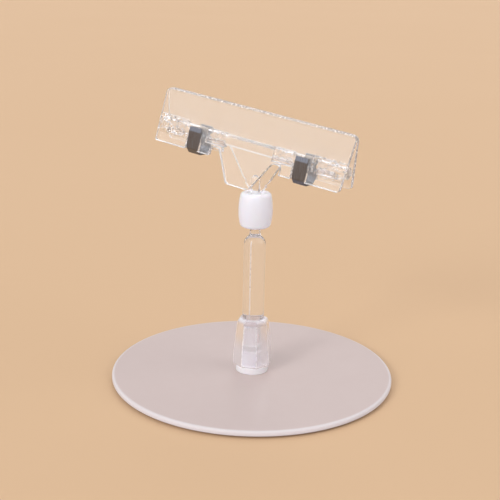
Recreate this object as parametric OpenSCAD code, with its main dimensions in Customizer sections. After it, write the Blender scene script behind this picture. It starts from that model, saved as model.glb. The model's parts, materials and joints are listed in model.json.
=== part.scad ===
// Table sign holder: a round base, a turning post, a double ball coupling and a spring clip.
// The clip is drawn about its own hinge line and then leaned and tilted at the upper ball.

/* [Base] */
// Diameter of the round base plate
base_d = 110; // [90:1:140]
// Thickness of the base plate
base_t = 2.2; // [1.9:0.1:3.5]
// Rounding of the plate rim
rim_r = 0.9; // [0.4:0.1:0.9]
// Thickness of the foam pad under the plate
pad_t = 0.8; // [0.5:0.1:1.5]
// How far the pad stays inside the rim
pad_inset = 3; // [2:0.5:8]
// How far the pad's hole stays clear of the screw head
pad_hole_gap = 4; // [2:0.5:10]

/* [Fixing screw] */
// Diameter of the screw thread
screw_d = 3; // [2.6:0.1:3.2]
// Diameter of the countersunk head
screw_head_d = 6; // [5.4:0.1:6.6]
// Length of the screw above the plate
screw_grip = 4.2; // [3.6:0.1:4.4]
// How far the head sits below the underside of the plate
head_sink = 0.1; // [0.05:0.05:0.2]
// Width of the arms of the cross recess
recess_w = 0.8; // [0.6:0.1:1]
// Length of the arms of the cross recess
recess_len = 3; // [2.4:0.1:3.4]
// Depth of the cross recess
recess_depth = 0.8; // [0.5:0.1:1]
// Room in the hub's hole past the end of the screw
hole_room = 0.3; // [0.1:0.1:0.6]

/* [Hub and collar nut] */
// Height of the hub flange on the plate
flange_h = 2.9; // [2.5:0.1:4]
// How far the flange stands out past the threaded stud
flange_lip = 0.5; // [0.4:0.1:1.2]
// Height of the threaded stud
stud_h = 5.8; // [5.2:0.1:8]
// Wall of the stud around the foot of the post
socket_wall = 1.6; // [1.2:0.1:2]
// Depth of the socket for the foot of the post
socket_depth = 3.4; // [2.6:0.1:3.6]
// Height of the collar nut
collar_h = 19; // [17:0.5:24]
// Wall of the collar nut at its lower flats
collar_wall = 1.3; // [1.2:0.1:2]
// Height of the straighter grip band at the foot of the nut
collar_band_h = 6.5; // [4:0.5:8]
// How much the grip band narrows towards its top
band_draft = 0.3; // [0.1:0.1:0.5]
// Taper of the nut above the grip band, in degrees
collar_taper = 5.8; // [3:0.2:6]
// Thickness of the cap at the top of the nut
cap_t = 3; // [2:0.1:3.4]
// Rounding of the nut's shoulder
shoulder_r = 2.2; // [1.4:0.1:2.4]
// How far outside the nut's corners that rounding starts
shoulder_ease = 0.2; // [0.1:0.05:0.4]
// Turned position of the nut's corners, in degrees
collar_turn = 42.5; // [0:0.1:45]

/* [Post] */
// Diameter of the clear post
stem_d = 8.4; // [7:0.1:10]
// Height above the table at which the neck leaves the post's round end
stem_top = 58; // [45:1:120]
// Diameter of the neck at the post's round end
neck_root_d = 4.7; // [4.4:0.1:4.8]
// Height of the tapered foot of the neck
neck_foot_h = 2.6; // [2:0.1:3]
// Thickness of the stop ring trapped under the cap
ring_t = 1.5; // [1:0.1:2]

/* [Ball coupling] */
// Diameter of both balls
ball_d = 5.8; // [5.4:0.1:6.4]
// Diameter of the neck behind each ball
neck_d = 3.6; // [3:0.1:3.8]
// Free length from the post's round end to the barrel
neck_free = 3.5; // [3.2:0.1:6]
// Wall between the two sockets inside the barrel
socket_web = 0.7; // [0.6:0.1:1.5]
// Height of the barrel past each ball
lip_h = 0.55; // [0.4:0.05:0.9]
// Largest tilt that a socket mouth lets its neck take, in degrees
mouth_tilt = 23; // [21:0.5:24]
// Wall of the barrel around a ball at the middle of its height
barrel_wall = 3.65; // [3.3:0.05:4.5]
// Bulge of the barrel at half height
barrel_bulge = 0.85; // [0.4:0.05:1]
// Rounding of the barrel's ends
barrel_round = 1.6; // [0.8:0.1:1.8]

/* [Clip jaws] */
// Length of the clip along its gripping edge
clip_len = 80; // [72:1:110]
// Height of the gripping edge above the hinge
jaw_top = 13.7; // [12:0.1:16]
// Depth of the legs below the hinge
leg_drop = 6.3; // [5.6:0.1:7.5]
// Slope of each jaw away from the middle plane, in degrees
jaw_angle = 14; // [12:0.2:15]
// Thickness of a jaw from the hinge down
plate_t = 2; // [1.8:0.1:2.2]
// Thickness of a jaw at the gripping edge
grip_t = 1.05; // [0.9:0.05:1.3]
// Width of the bevel along the gripping edge
edge_bevel_w = 0.4; // [0.2:0.05:0.6]
// Height of the bevel along the gripping edge
edge_bevel_h = 0.6; // [0.3:0.1:0.9]
// Height of the flat land at the gripping edge
grip_land = 1.5; // [1:0.1:2.5]
// How much shorter each end is at the leg than at the gripping edge
end_taper = 0.9; // [0:0.1:1.5]
// Rounding of the upper corners
corner_r = 2.2; // [1:0.1:3]
// Rounding of the lower corners
foot_r = 1; // [0.5:0.1:1.5]
// Depth of the finger levers below the hinge
lever_drop = 14.3; // [13:0.1:16]
// Width of a lever where it leaves the plate
lever_top_w = 22.6; // [19:0.2:24]
// Width of a lever at its lower edge
lever_end_w = 9.4; // [8:0.2:11]
// Rounding of a lever's lower corners
lever_r = 2.2; // [0.8:0.1:2.6]
// Fillet in the upper corners of the notch beside a lever
notch_fillet = 1.4; // [0.6:0.1:1.6]
// Distance from the middle to the leg on the far side of that notch
notch_x = 15; // [14.6:0.1:17]
// Height of plate kept between that notch and the hinge blocks
notch_land = 0.3; // [0.2:0.1:0.8]
// Width of the web from the rear lever to the neck, at the lever
gusset_w = 8.2; // [6:0.2:8.6]
// Height of that web before it narrows
gusset_h = 1.2; // [0.6:0.1:1.5]
// How far the ball's stud runs up into the lever
stud_tail = 1.5; // [1:0.1:2.5]
// Depth of the upper ball below the hinge
ball_drop = 21.9; // [21.5:0.1:25]

/* [Hinge] */
// How far the hinge rod ends inside the end of the jaw
rod_inset = 0.2; // [0.1:0.1:1]
// Half height of the web that joins the rod to the rear jaw
rod_web_half = 1.2; // [0.8:0.1:1.3]
// Distance of the hinge blocks from the middle plane
block_in = 0.5; // [0.4:0.1:0.8]
// Distance of the inner hinge blocks from the middle
inner_block_x = 10.2; // [9.5:0.1:11]
// Length of an inner hinge block
inner_block_w = 8.2; // [6:0.2:8.6]
// Distance of the outer hinge blocks from the middle
outer_block_x = 28.6; // [27.5:0.1:29.5]
// Length of an outer hinge block
outer_block_w = 6.8; // [5:0.2:6.8]
// Half height of a hinge block
block_half_h = 2.7; // [2.5:0.1:3]

/* [Clip springs] */
// Distance of each spring from the middle
spring_x = 22.6; // [22.2:0.1:23.6]
// Width of the spring strip
spring_w = 5.2; // [4:0.1:5.6]
// Thickness of the spring strip
spring_t = 0.55; // [0.4:0.05:0.7]
// Height of the spring tips above the hinge
spring_tip = 2.1; // [1.9:0.1:4]
// Height at which the strip bends on to the jaw
spring_bend = 0.5; // [0.4:0.05:1.2]
// How far the spring hangs below the legs
spring_hang = 1.7; // [1.5:0.1:3]
// Size of the slanted lower corners
spring_chamfer = 1.6; // [1.2:0.1:2.4]
// Height of the leg kept below the hinge rod over each spring
slot_roof = 1.2; // [1:0.1:1.4]

/* [Pose of the clip] */
// Backward lean of the clip, in degrees
lean_back = 3.4; // [0:0.1:8]
// Sideways tilt of the clip, in degrees
side_tilt = 7.3; // [0:0.1:8]

/* [Fits] */
// Radial running clearance of turning parts
run_gap = 0.05; // [0.02:0.01:0.1]
// Clearance between fixed parts
seat_gap = 0.04; // [0.02:0.01:0.08]
// End clearance of parts that turn face to face
face_gap = 0.1; // [0.05:0.01:0.2]
// Clearance of the hinge rod to the plate it passes
rod_gap = 0.25; // [0.2:0.05:0.4]
// Clearance between the closed gripping edges
paper_gap = 0.1; // [0.05:0.01:0.2]
// Clearance of a spring in its slot, on each side
slot_gap = 0.35; // [0.2:0.05:0.6]
// Room above the bend of a spring in its notch
bend_room = 0.4; // [0.3:0.05:0.6]
// Radial clearance of the stop ring in the nut
ring_gap = 0.2; // [0.1:0.05:0.3]
// Clearance of the web below the rear lever to the barrel
gusset_gap = 0.7; // [0.5:0.1:1]

/* [Hidden] */
$fn = 96;
// Overrun of a cut past a face, and depth to which joined shapes sink into each other
past = 1;
sink = 0.5;
// Depth across the clip that passes both jaws
across = 80;
plate_top = pad_t + base_t;
head_h = (screw_head_d - screw_d) / 2;
flange_top = plate_top + flange_h;
stud_top = flange_top + stud_h;
socket_floor = stud_top - socket_depth;
stud_r = stem_d / 2 + run_gap + socket_wall;
bore_r = stud_r + run_gap;
collar_foot = flange_top + face_gap;
collar_top = collar_foot + collar_h;
band_top = collar_foot + collar_band_h;
cap_under = collar_top - cap_t;
flat_foot = bore_r + collar_wall;
flat_band = flat_foot - band_draft;
flat_top = flat_band - (collar_top - band_top) * tan(collar_taper);
flat_shoulder = flat_band - (collar_top - shoulder_r - band_top) * tan(collar_taper);
corner_shoulder = flat_shoulder / cos(half_turn()) + shoulder_ease;
collar_hole_r = stem_d / 2 + run_gap;
bore_top_r = bore_r - (cap_under - stud_top) * tan(collar_taper);
ring_r = bore_top_r - ring_gap;
ball_r = ball_d / 2;
neck_r = neck_d / 2;
dome_z = stem_top - sqrt(stem_d * stem_d - neck_root_d * neck_root_d) / 2;
mouth_h = ball_r + lip_h;
barrel_foot = stem_top + neck_free;
lower_ball_z = barrel_foot + mouth_h;
upper_ball_z = lower_ball_z + ball_d + 2 * run_gap + socket_web;
barrel_top = upper_ball_z + mouth_h;
barrel_mid = (barrel_foot + barrel_top) / 2;
barrel_half = (barrel_top - barrel_foot) / 2;
barrel_r = ball_r + barrel_wall;
bulge_r = (barrel_half * barrel_half + barrel_bulge * barrel_bulge) / (2 * barrel_bulge);
end_angle = asin((barrel_half - barrel_round) / (bulge_r - barrel_round));
end_mid_r = barrel_r - bulge_r + (bulge_r - barrel_round) * cos(end_angle);
mouth_root_r = neck_r / cos(mouth_tilt) + run_gap;
mouth_rim_r = mouth_root_r + (mouth_h + past) * tan(mouth_tilt);
grip_y = paper_gap / 2;
hinge_in = plate_out(0) - plate_t;
rod_r = hinge_in * cos(jaw_angle) - rod_gap;
rod_len = 2 * (half_len(0) - rod_inset);
ball_y = plate_out(-ball_drop) - plate_t / 2;
gusset_z = -ball_drop + (mouth_h + gusset_gap) * cos(jaw_angle);
stud_len = ball_drop - lever_drop + stud_tail;
side_in = plate_out(spring_bend) + seat_gap;
spring_floor = -leg_drop - spring_hang + spring_t;
slot_w = spring_w + 2 * slot_gap;
slot_top = rod_r + slot_roof;
notch_top = block_half_h + notch_land;

// Half of the turn from one of the nut's eight flats to the next
function half_turn() = 180 / 8;

// Distance of a jaw's outer face from the middle plane at height z
function plate_out(z) = grip_y + grip_t + (jaw_top - z) * tan(jaw_angle);

// Half length of a jaw at height z
function half_len(z) = clip_len / 2 - end_taper * (jaw_top - z) / (jaw_top + leg_drop);

// Moves a piece of the clip from its hinge line to the upper ball
module on_ball() {
  translate([0, 0, upper_ball_z])
    rotate([-lean_back, 0, 0])
      rotate([0, side_tilt, 0])
        translate([0, -ball_y, ball_drop])
          children();
}

// Extrudes a section drawn across the clip along the hinge line
module along_hinge(length) {
  rotate([90, 0, 90])
    linear_extrude(height = length, center = true)
      children();
}

// Flat coated plate with a rounded rim and a countersunk hole
module base_plate() {
  color("white")
    difference() {
      rotate_extrude() {
        translate([0, pad_t])
          square([base_d / 2 - rim_r, base_t]);
        translate([0, pad_t + rim_r])
          square([base_d / 2, base_t - 2 * rim_r]);
        translate([base_d / 2 - rim_r, pad_t + rim_r])
          circle(rim_r);
        translate([base_d / 2 - rim_r, plate_top - rim_r])
          circle(rim_r);
      }
      translate([0, 0, pad_t - past])
        cylinder(h = base_t + 2 * past, r = screw_d / 2 + seat_gap);
      translate([0, 0, pad_t])
        cylinder(h = head_h, r1 = screw_head_d / 2 + seat_gap, r2 = screw_d / 2 + seat_gap);
    }
}

// Foam ring glued under the plate, open at the middle for the screw
module base_pad() {
  color("dimgray")
    difference() {
      cylinder(h = pad_t, r = base_d / 2 - pad_inset);
      translate([0, 0, -past])
        cylinder(h = pad_t + 2 * past, r = screw_head_d / 2 + pad_hole_gap);
    }
}

// Countersunk screw driven up into the hub, with a cross recess
module base_screw() {
  color("silver")
    difference() {
      union() {
        translate([0, 0, pad_t + head_sink])
          cylinder(h = head_h - head_sink, r1 = screw_head_d / 2 - head_sink, r2 = screw_d / 2);
        translate([0, 0, pad_t + head_h - head_sink])
          cylinder(h = base_t - head_h + head_sink + screw_grip, r = screw_d / 2);
      }
      for (turn = [0, 90])
        rotate([0, 0, turn])
          translate([-recess_len / 2, -recess_w / 2, pad_t + head_sink - past])
            cube([recess_len, recess_w, recess_depth + past]);
    }
}

// Round hub: a flange on the plate and a stud with a socket for the post
module hub() {
  color("white")
    difference() {
      union() {
        translate([0, 0, plate_top])
          cylinder(h = flange_h, r = stud_r + flange_lip);
        translate([0, 0, plate_top])
          cylinder(h = flange_h + stud_h, r = stud_r);
      }
      translate([0, 0, socket_floor])
        cylinder(h = socket_depth + past, r = stem_d / 2 + run_gap);
      translate([0, 0, plate_top - past])
        cylinder(h = screw_grip + hole_room + past, r = screw_d / 2 + seat_gap / 2);
    }
}

// Eight sided tapered nut with a rounded shoulder, hollow below its cap
module collar_nut() {
  color([0.93, 0.93, 0.95, 0.6])
    difference() {
      intersection() {
        collar_slab(0);
        collar_slab(1);
        collar_slab(2);
        collar_slab(3);
        rotate_extrude() {
          translate([0, collar_foot])
            square([flat_foot / cos(half_turn()) + past, collar_h - shoulder_r]);
          translate([0, collar_foot])
            square([corner_shoulder - shoulder_r, collar_h]);
          translate([corner_shoulder - shoulder_r, collar_top - shoulder_r])
            circle(shoulder_r);
        }
      }
      translate([0, 0, collar_foot - past])
        cylinder(h = stud_top - collar_foot + past, r = bore_r);
      translate([0, 0, stud_top])
        cylinder(h = cap_under - stud_top, r1 = bore_r, r2 = bore_top_r);
      translate([0, 0, collar_foot - past])
        cylinder(h = collar_h + 2 * past, r = collar_hole_r);
    }
}

// One pair of opposite flats of the nut
module collar_slab(pair) {
  rotate([0, 0, collar_turn + (2 * pair + 1) * half_turn()])
    rotate([90, 0, 90])
      linear_extrude(height = 4 * flat_foot, center = true)
        polygon([
          [-flat_foot, collar_foot], [flat_foot, collar_foot],
          [flat_band, band_top], [flat_top, collar_top],
          [-flat_top, collar_top], [-flat_band, band_top]
        ]);
}

// Clear post: foot in the hub's socket, stop ring under the cap, round end, neck and ball
module stem() {
  color([0.9, 0.92, 0.95, 0.4])
    union() {
      rotate_extrude() {
        translate([0, cap_under - face_gap - ring_t])
          square([ring_r, ring_t]);
        translate([0, socket_floor + face_gap])
          square([stem_d / 2, dome_z - socket_floor - face_gap]);
        intersection() {
          translate([0, dome_z])
            circle(stem_d / 2);
          translate([0, dome_z - sink])
            square([stem_d, stem_d]);
        }
        polygon([
          [0, stem_top - sink], [neck_root_d / 2, stem_top - sink],
          [neck_root_d / 2, stem_top], [neck_r, stem_top + neck_foot_h],
          [neck_r, lower_ball_z], [0, lower_ball_z]
        ]);
      }
      translate([0, 0, lower_ball_z])
        sphere(ball_r);
    }
}

// Bulging sleeve with a ball socket and a flared mouth at each end
module barrel() {
  color("white")
    difference() {
      rotate_extrude() {
        intersection() {
          translate([barrel_r - bulge_r, barrel_mid])
            circle(bulge_r, $fn = 360);
          translate([0, barrel_mid - bulge_r * sin(end_angle)])
            square([2 * barrel_r, 2 * bulge_r * sin(end_angle)]);
        }
        translate([0, barrel_foot])
          square([end_mid_r, 2 * barrel_half]);
        translate([end_mid_r, barrel_foot + barrel_round])
          circle(barrel_round);
        translate([end_mid_r, barrel_top - barrel_round])
          circle(barrel_round);
      }
      translate([0, 0, lower_ball_z])
        sphere(ball_r + run_gap);
      translate([0, 0, upper_ball_z])
        sphere(ball_r + run_gap);
      translate([0, 0, upper_ball_z])
        cylinder(h = mouth_h + past, r1 = mouth_root_r, r2 = mouth_rim_r);
      translate([0, 0, lower_ball_z - mouth_h - past])
        cylinder(h = mouth_h + past, r1 = mouth_rim_r, r2 = mouth_root_r);
    }
}

// Section across a jaw, from the gripping edge to below the lever
module jaw_section() {
  polygon([
    [grip_y, jaw_top], [grip_y + grip_t - edge_bevel_w, jaw_top],
    [plate_out(jaw_top - edge_bevel_h), jaw_top - edge_bevel_h],
    [plate_out(-ball_drop), -ball_drop], [plate_out(-ball_drop) - plate_t, -ball_drop],
    [hinge_in, 0], [grip_y, jaw_top - grip_land]
  ]);
}

// Front view of a jaw: long plate with rounded corners, a notch on each side and the finger lever
module jaw_outline() {
  end_slope = atan(end_taper / (jaw_top + leg_drop));
  top_in = corner_r / tan((90 - end_slope) / 2);
  foot_in = foot_r / tan((90 + end_slope) / 2);
  top_x = half_len(jaw_top) - top_in;
  foot_x = half_len(-leg_drop) - foot_in;
  lever_slope = atan((lever_top_w - lever_end_w) / 2 / (lever_drop - notch_top));
  lever_x = lever_end_w / 2 - lever_r / tan((90 + lever_slope) / 2);
  for (side = [-1, 1]) {
    translate([side * top_x, jaw_top - corner_r])
      circle(corner_r);
    translate([side * foot_x, -leg_drop + foot_r])
      circle(foot_r);
    translate([side * lever_x, -lever_drop + lever_r])
      circle(lever_r);
    notch_corner(side, lever_top_w / 2, 1, lever_slope);
    notch_corner(side, notch_x, -1, 0);
  }
  polygon([
    [-top_x, jaw_top], [top_x, jaw_top],
    [top_x + corner_r * cos(end_slope), jaw_top - corner_r - corner_r * sin(end_slope)],
    [foot_x + foot_r * cos(end_slope), -leg_drop + foot_r - foot_r * sin(end_slope)],
    [foot_x, -leg_drop], [notch_x, -leg_drop], [notch_x, -notch_top],
    [-notch_x, -notch_top], [-notch_x, -leg_drop], [-foot_x, -leg_drop],
    [-foot_x - foot_r * cos(end_slope), -leg_drop + foot_r - foot_r * sin(end_slope)],
    [-top_x - corner_r * cos(end_slope), jaw_top - corner_r - corner_r * sin(end_slope)]
  ]);
  polygon([
    [-lever_top_w / 2, -notch_top], [-lever_top_w / 2, -notch_top + sink],
    [lever_top_w / 2, -notch_top + sink], [lever_top_w / 2, -notch_top],
    [lever_x + lever_r * cos(lever_slope), -lever_drop + lever_r - lever_r * sin(lever_slope)],
    [lever_x, -lever_drop], [-lever_x, -lever_drop],
    [-lever_x - lever_r * cos(lever_slope), -lever_drop + lever_r - lever_r * sin(lever_slope)]
  ]);
}

// Fillet in an upper corner of a notch: way points along the notch, slope leans the other edge
module notch_corner(side, corner_x, way, slope) {
  reach = notch_fillet / tan((90 + slope) / 2);
  middle_x = corner_x + way * reach;
  end_x = corner_x - way * reach * sin(slope);
  end_z = -notch_top - reach * cos(slope);
  difference() {
    polygon([
      [side * (corner_x - way * sink), -notch_top + sink],
      [side * middle_x, -notch_top + sink], [side * middle_x, -notch_top],
      [side * middle_x, -notch_top - notch_fillet], [side * end_x, end_z],
      [side * (end_x - way * sink * cos(slope)), end_z + sink * sin(slope)]
    ]);
    translate([side * middle_x, -notch_top - notch_fillet])
      circle(notch_fillet);
  }
}

// Tapered web that leads the rear lever down to the neck of its ball
module neck_gusset() {
  polygon([
    [-gusset_w / 2, -lever_drop + lever_r], [gusset_w / 2, -lever_drop + lever_r],
    [gusset_w / 2, -lever_drop - gusset_h], [neck_r - seat_gap, gusset_z],
    [seat_gap - neck_r, gusset_z], [-gusset_w / 2, -lever_drop - gusset_h]
  ]);
}

// Notches that let a spring pass through the leg and lie on the jaw
module spring_slots() {
  for (side = [-1, 1])
    translate([side * spring_x - slot_w / 2, 0, -ball_drop]) {
      translate([0, side_in - face_gap, 0])
        cube([slot_w, across, ball_drop + spring_bend + bend_room]);
      cube([slot_w, across, ball_drop - slot_top]);
    }
}

// Rear jaw: plate, lever, hinge rod along its inside, and the ball stud
module rear_jaw() {
  color([0.9, 0.92, 0.95, 0.4])
    on_ball() {
      difference() {
        union() {
          intersection() {
            along_hinge(clip_len + 2 * past)
              jaw_section();
            rotate([90, 0, 0])
              linear_extrude(height = across, center = true)
                union() {
                  jaw_outline();
                  neck_gusset();
                }
          }
          along_hinge(rod_len)
            circle(rod_r);
          along_hinge(rod_len)
            polygon([
              [rod_r / 2, -rod_web_half], [hinge_in + plate_t / 2, -rod_web_half],
              [hinge_in + plate_t / 2, rod_web_half], [rod_r / 2, rod_web_half]
            ]);
        }
        spring_slots();
      }
      translate([0, ball_y, -ball_drop])
        rotate([jaw_angle, 0, 0]) {
          sphere(ball_r);
          cylinder(h = stud_len, r = neck_r);
          translate([0, 0, stud_len])
            sphere(neck_r);
        }
    }
}

// Front jaw: the same plate and lever, with saddle blocks that ride on the hinge rod
module front_jaw() {
  color([0.9, 0.92, 0.95, 0.4])
    on_ball()
      mirror([0, 1, 0])
        difference() {
          union() {
            intersection() {
              along_hinge(clip_len + 2 * past)
                jaw_section();
              rotate([90, 0, 0])
                linear_extrude(height = across, center = true)
                  jaw_outline();
            }
            for (side = [-1, 1]) {
              translate([side * (inner_block_x + inner_block_w / 2), 0, 0])
                saddle_block(inner_block_w);
              translate([side * (outer_block_x + outer_block_w / 2), 0, 0])
                saddle_block(outer_block_w);
            }
          }
          along_hinge(clip_len + 2 * past)
            circle(rod_r + run_gap);
          spring_slots();
        }
}

// Block between a jaw plate and the hinge rod
module saddle_block(length) {
  along_hinge(length)
    polygon([
      [block_in, -block_half_h], [plate_out(-block_half_h) - plate_t / 2, -block_half_h],
      [plate_out(block_half_h) - plate_t / 2, block_half_h], [block_in, block_half_h]
    ]);
}

// Bent steel strip that hugs both jaws from below, drawn across the clip
module spring_section() {
  tip_y = plate_out(spring_tip) + seat_gap;
  bend_out = spring_t * tan(jaw_angle / 2);
  low_out = spring_t * tan(22.5);
  polygon([
    [tip_y, spring_tip],
    [tip_y + spring_t * cos(jaw_angle), spring_tip + spring_t * sin(jaw_angle)],
    [side_in + spring_t, spring_bend + bend_out],
    [side_in + spring_t, spring_floor + spring_chamfer - low_out],
    [side_in - spring_chamfer + low_out, spring_floor - spring_t],
    [-side_in + spring_chamfer - low_out, spring_floor - spring_t],
    [-side_in - spring_t, spring_floor + spring_chamfer - low_out],
    [-side_in - spring_t, spring_bend + bend_out],
    [-tip_y - spring_t * cos(jaw_angle), spring_tip + spring_t * sin(jaw_angle)],
    [-tip_y, spring_tip],
    [-side_in, spring_bend],
    [-side_in, spring_floor + spring_chamfer],
    [-side_in + spring_chamfer, spring_floor],
    [side_in - spring_chamfer, spring_floor],
    [side_in, spring_floor + spring_chamfer],
    [side_in, spring_bend]
  ]);
}

// Spring on the left of the levers
module left_spring() {
  color("dimgray")
    on_ball()
      translate([-spring_x, 0, 0])
        along_hinge(spring_w)
          spring_section();
}

// Spring on the right of the levers
module right_spring() {
  color("dimgray")
    on_ball()
      translate([spring_x, 0, 0])
        along_hinge(spring_w)
          spring_section();
}

base_plate();
base_pad();
base_screw();
hub();
collar_nut();
stem();
barrel();
rear_jaw();
front_jaw();
left_spring();
right_spring();
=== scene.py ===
import json
import math

import bmesh
import bpy
import numpy as np
from mathutils import Matrix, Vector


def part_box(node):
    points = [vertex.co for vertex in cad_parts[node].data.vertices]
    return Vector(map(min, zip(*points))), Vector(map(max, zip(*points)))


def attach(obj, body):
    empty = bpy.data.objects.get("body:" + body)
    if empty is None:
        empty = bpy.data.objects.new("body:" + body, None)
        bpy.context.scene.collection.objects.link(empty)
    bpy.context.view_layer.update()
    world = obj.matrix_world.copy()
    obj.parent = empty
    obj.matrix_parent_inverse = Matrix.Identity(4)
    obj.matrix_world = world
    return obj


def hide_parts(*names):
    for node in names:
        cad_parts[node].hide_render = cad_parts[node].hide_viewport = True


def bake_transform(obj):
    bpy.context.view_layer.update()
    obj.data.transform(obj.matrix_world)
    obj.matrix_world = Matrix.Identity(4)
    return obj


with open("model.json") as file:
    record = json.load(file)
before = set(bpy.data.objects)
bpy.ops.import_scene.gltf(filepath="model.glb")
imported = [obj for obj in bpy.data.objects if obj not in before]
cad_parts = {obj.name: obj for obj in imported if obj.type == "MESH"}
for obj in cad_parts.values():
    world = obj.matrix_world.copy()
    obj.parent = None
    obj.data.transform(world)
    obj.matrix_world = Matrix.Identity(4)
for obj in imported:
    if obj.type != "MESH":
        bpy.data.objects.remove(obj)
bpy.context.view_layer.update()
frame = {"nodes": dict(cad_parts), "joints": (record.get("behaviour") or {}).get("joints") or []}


# Base plate
# A round plate of sheet steel, stamped out, with its rim rolled over to a small radius and a countersunk
# hole at the middle. It is powder coated in satin white, which leaves a faint orange peel on the top.

mm = 0.001
arc_steps = 7
same_point = 0.0002 * mm
noise_low, noise_high = 0.3, 0.7
plate_low, plate_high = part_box("base_plate")
plate_r = plate_high.x
plate_rim_r = 0.9 * mm
plate_hole_r = 1.54 * mm
plate_sink_r = 3.04 * mm
plate_sink_h = 1.5 * mm
plate_sink_edge = 0.05 * mm
plate_hole_edge = 0.1 * mm
rim_highlight_start = 1.3 * mm
rim_highlight_end = 0.5 * mm
plate_white = (0.665, 0.55, 0.52, 1.0)
plate_shade = (0.645, 0.53, 0.50, 1.0)
rim_painted_highlight = (0.80, 0.745, 0.75, 1.0)


def rounded(corners, steps=arc_steps):
    """Outline through corners given as (radius, height, fillet). Each corner becomes the arc that touches
    both of its edges: its centre is on the bisector, at fillet / sin(half the corner's angle)."""
    corners = np.asarray(corners, float)
    points, fillet = corners[:, :2], corners[:, 2:]
    back = np.roll(points, 1, axis=0) - points
    ahead = np.roll(points, -1, axis=0) - points
    back /= np.linalg.norm(back, axis=1, keepdims=True)
    ahead /= np.linalg.norm(ahead, axis=1, keepdims=True)
    half = np.arccos(np.clip((back * ahead).sum(axis=1, keepdims=True), -1, 1)) / 2
    bisector = (back + ahead) / np.linalg.norm(back + ahead, axis=1, keepdims=True)
    centre = points + bisector * fillet / np.sin(half)
    first = points + back * fillet / np.tan(half) - centre
    last = points + ahead * fillet / np.tan(half) - centre
    turn = (math.pi - 2 * half)[:, :, None]
    share = np.linspace(0, 1, steps)[None, :, None]
    arc = np.sin((1 - share) * turn) * first[:, None] + np.sin(share * turn) * last[:, None]
    return (centre[:, None] + arc / np.sin(turn)).reshape(-1, 2)


def held(line, margin, closed=True):
    """The line with two more points on each long stretch, a margin in from its ends, so that smooth
    shading stays flat along the stretch. Short stretches get copies of their ends, which merge later."""
    ahead = np.roll(line, -1, axis=0) - line
    length = np.linalg.norm(ahead[:, :2], axis=1, keepdims=True)
    step = ahead * np.where(length > 4 * margin, margin / np.maximum(length, margin), 0)
    points = np.stack([line, line + step, line + ahead - step], axis=1).reshape(-1, line.shape[1])
    return points if closed else points[:-2]


def turned(profile, turns=128):
    """Grid of a lathe shape: the profile's (radius, height) at equal steps round the upright axis."""
    angle = np.linspace(0, 2 * math.pi, turns, endpoint=False)[:, None]
    radius, height = profile[None, :, 0], profile[None, :, 1]
    return np.stack([radius * np.cos(angle), radius * np.sin(angle), height + 0 * angle], axis=-1)


def skin(name, grid, closed=True, sharp=35):
    """Mesh over a grid of points that goes round in its first direction and, if closed, in its second too.
    Points that coincide, as at a pole, are merged, and the faces are turned outwards."""
    index = np.arange(grid.shape[0] * grid.shape[1]).reshape(grid.shape[:2])
    beside = np.roll(index, -1, axis=0)
    quads = np.stack([index, beside, np.roll(beside, -1, axis=1), np.roll(index, -1, axis=1)], axis=-1)
    quads = quads if closed else quads[:, :-1]
    mesh = bpy.data.meshes.new(name)
    mesh.from_pydata(grid.reshape(-1, 3).tolist(), [], quads.reshape(-1, 4).tolist())
    return tidied(mesh, sharp)


def tidied(mesh, sharp):
    """Merges coinciding points, turns faces outwards and smooths all edges below the sharp angle."""
    shape = bmesh.new()
    shape.from_mesh(mesh)
    bmesh.ops.remove_doubles(shape, verts=shape.verts, dist=same_point)
    bmesh.ops.recalc_face_normals(shape, faces=shape.faces)
    shape.to_mesh(mesh)
    shape.free()
    mesh.shade_smooth()
    mesh.set_sharp_from_angle(angle=math.radians(sharp))
    return mesh


def piece(mesh, finish, body, slot, *nodes):
    """Adds a mesh as a piece that moves with a body, stands for CAD nodes and takes a finish. The slot is not
    used.
    """
    made = bpy.data.objects.new(mesh.name, mesh)
    bpy.context.scene.collection.objects.link(made)
    mesh.materials.append(finish)
    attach(made, body)
    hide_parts(*nodes)
    return made


def finish_of(name, sockets):
    """A material with one Principled node, whose sockets that are the same all over are set here."""
    finish = bpy.data.materials.new(name)
    finish.use_nodes = True
    surface = finish.node_tree.nodes["Principled BSDF"]
    for socket, value in sockets.items():
        surface.inputs[socket].default_value = value
    return finish


def pattern(finish, kind, scale, turn=None, stretch=None, **settings):
    """A texture node's first output on Object coordinates, its scale in features to the metre. With turn and
    stretch, the pattern is turned by those angles and drawn out by those factors."""
    nodes, links = finish.node_tree.nodes, finish.node_tree.links
    place = nodes.new("ShaderNodeTexCoord").outputs["Object"]
    if stretch:
        mapping = nodes.new("ShaderNodeMapping")
        mapping.vector_type = "TEXTURE"
        mapping.inputs["Rotation"].default_value = turn
        mapping.inputs["Scale"].default_value = stretch
        links.new(place, mapping.inputs["Vector"])
        place = mapping.outputs["Vector"]
    texture = nodes.new(kind)
    texture.inputs["Scale"].default_value = scale
    for socket, value in settings.items():
        texture.inputs[socket].default_value = value
    links.new(place, texture.inputs["Vector"])
    return texture.outputs[0]


def noise(finish, scale, detail):
    """A cloudy pattern, with its scale in features to the metre and its number of finer layers."""
    return pattern(finish, "ShaderNodeTexNoise", scale, Detail=detail)


def ranged(tree, value, start, end, low=0.0, high=1.0):
    """A Map Range node's result: low where the value is at its start, high at its end, and even between."""
    ramp = tree.nodes.new("ShaderNodeMapRange")
    for name, number in zip(("From Min", "From Max", "To Min", "To Max"), (start, end, low, high)):
        ramp.inputs[name].default_value = number
    tree.links.new(value, ramp.inputs["Value"])
    return ramp.outputs["Result"]


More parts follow.
